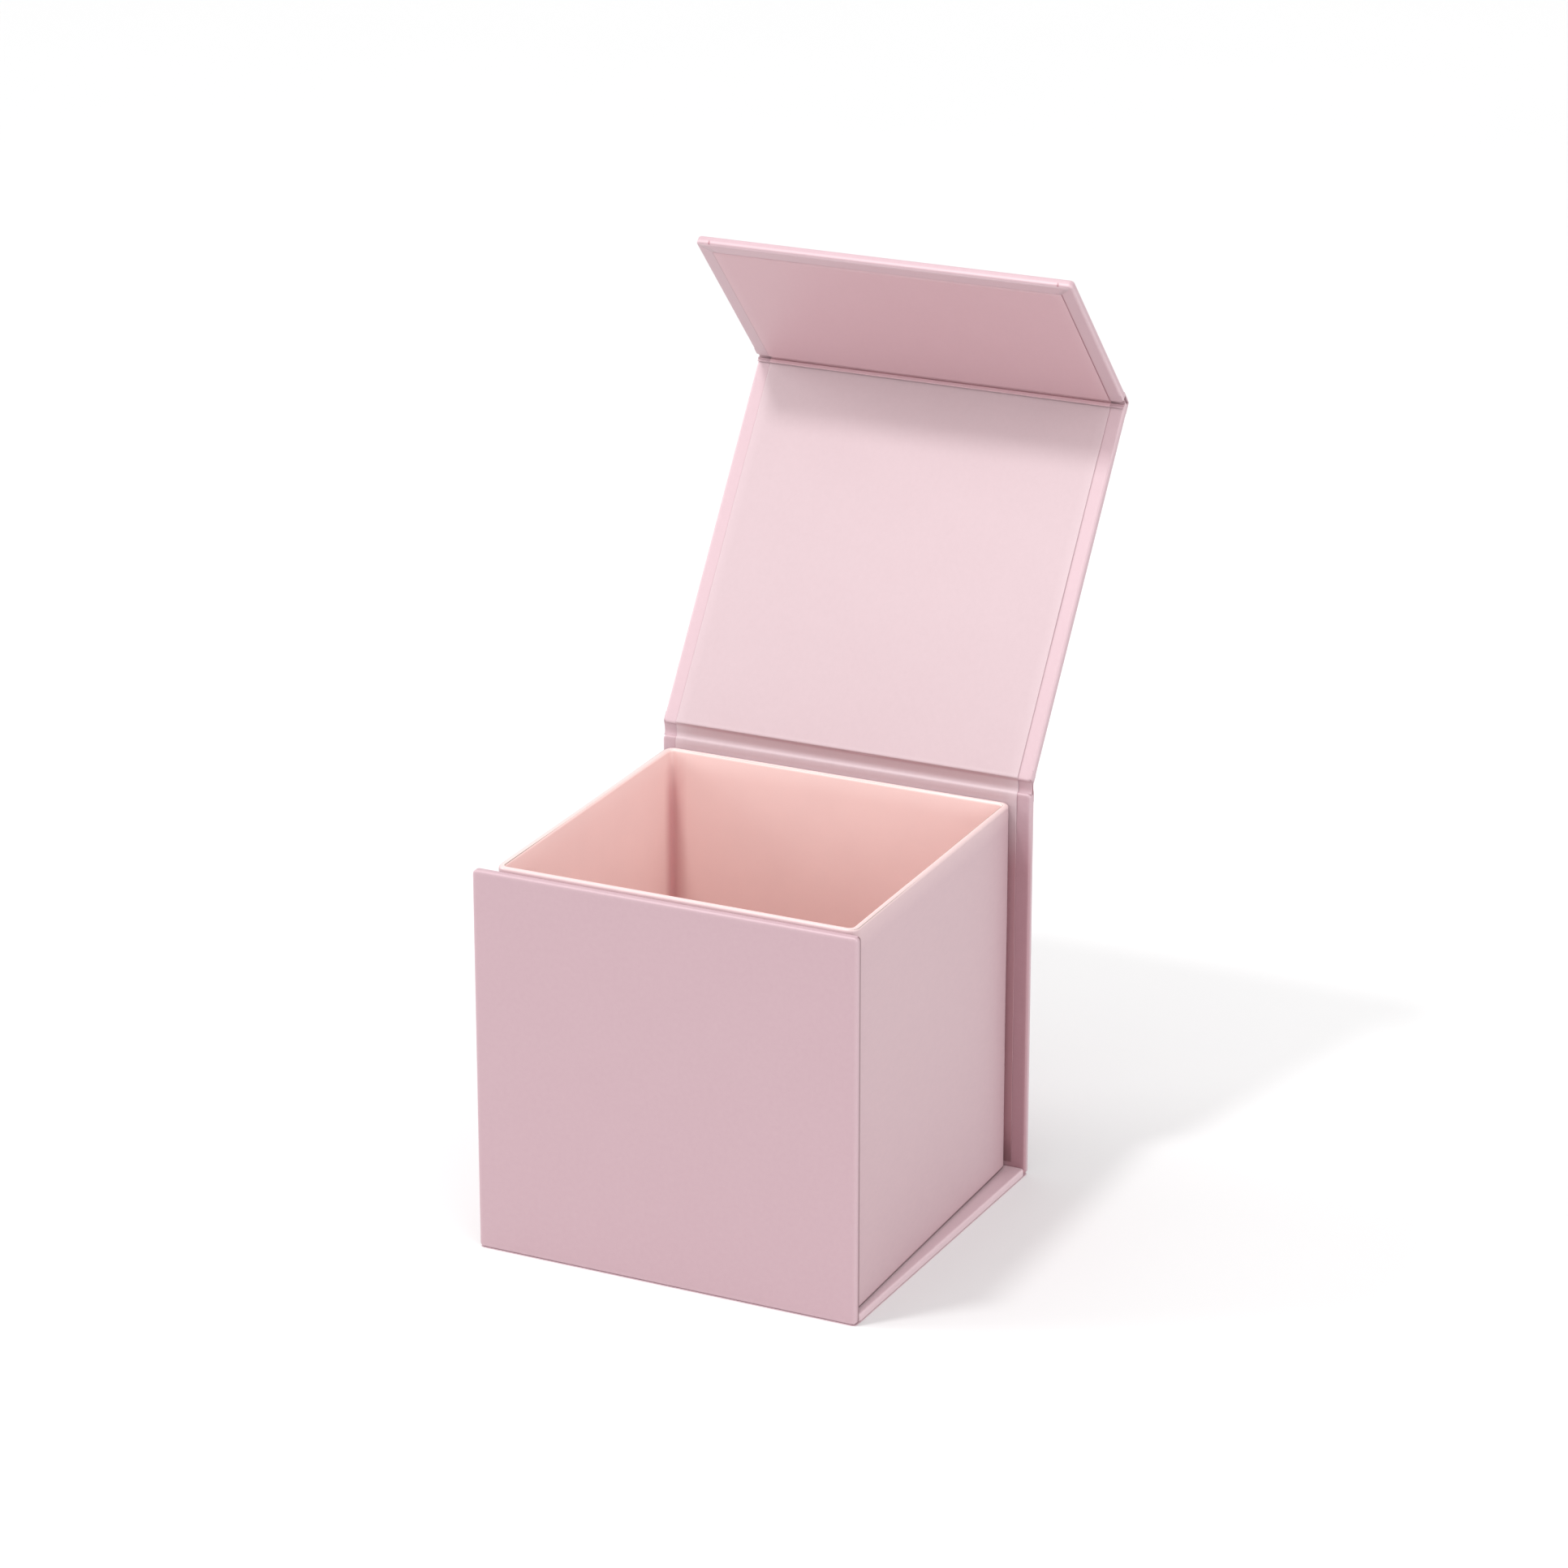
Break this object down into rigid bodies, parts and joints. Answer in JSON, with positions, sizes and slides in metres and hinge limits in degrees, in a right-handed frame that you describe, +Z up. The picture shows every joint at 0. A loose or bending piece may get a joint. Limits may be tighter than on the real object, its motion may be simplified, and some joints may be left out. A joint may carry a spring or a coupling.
{
  "type": "rigid gift and flower box",
  "caption": "Paper-covered greyboard box with an open tray inside a wrap-round case, a lid on a paper hinge, and a magnetic flap that folds over the front.",
  "frame": {"origin": "centre of the case's underside, on the surface that it stands on", "axes": "+X across the width to the right as seen from the front, -Y towards the front that the flap closes over, +Z up"},
  "size_m": [0.11, 0.1672, 0.2451],
  "materials": {
    "cover_paper": "matte",
    "liner_paper": "matte",
    "tray_paper": "matte",
    "greyboard": "matte",
    "corner_tape": "matte",
    "magnet_metal": "satin"
  },
  "bodies": {
    "box": {"front_board": "greyboard", "front_wrap": "cover_paper", "front_magnet_left": "magnet_metal", "front_magnet_right": "magnet_metal", "base_board": "greyboard", "base_wrap": "cover_paper", "back_board": "greyboard", "back_wrap": "cover_paper", "back_liner": "liner_paper", "tray_front_board": "greyboard", "tray_back_board": "greyboard", "tray_left_board": "greyboard", "tray_right_board": "greyboard", "tray_floor_board": "greyboard", "tray_floor_lining": "tray_paper", "tray_stay_front_left": "corner_tape", "tray_stay_front_right": "corner_tape", "tray_stay_back_left": "corner_tape", "tray_stay_back_right": "corner_tape", "tray_wrap": "tray_paper", "lid_hinge_paper": "cover_paper"},
    "lid": {"lid_board": "greyboard", "lid_wrap": "cover_paper", "lid_liner": "liner_paper"},
    "flap": {"flap_board": "greyboard", "flap_wrap": "cover_paper", "flap_liner": "liner_paper", "flap_magnet_left": "magnet_metal", "flap_magnet_right": "magnet_metal", "flap_hinge_paper": "cover_paper"}
  },
  "joints": [
    {"name": "lid_hinge", "type": "hinge", "parent": "box", "child": "lid", "pos_m": [0, 0.053, 0.1106], "axis": [-1, 0, 0], "range_deg": [-123.5, 86.5], "deforming": ["lid_hinge_paper"]},
    {"name": "flap_hinge", "type": "hinge", "parent": "lid", "child": "flap", "pos_m": [0, 0.1131, 0.20249], "axis": [-1, 0, 0], "range_deg": [-14, 90]}
  ]
}
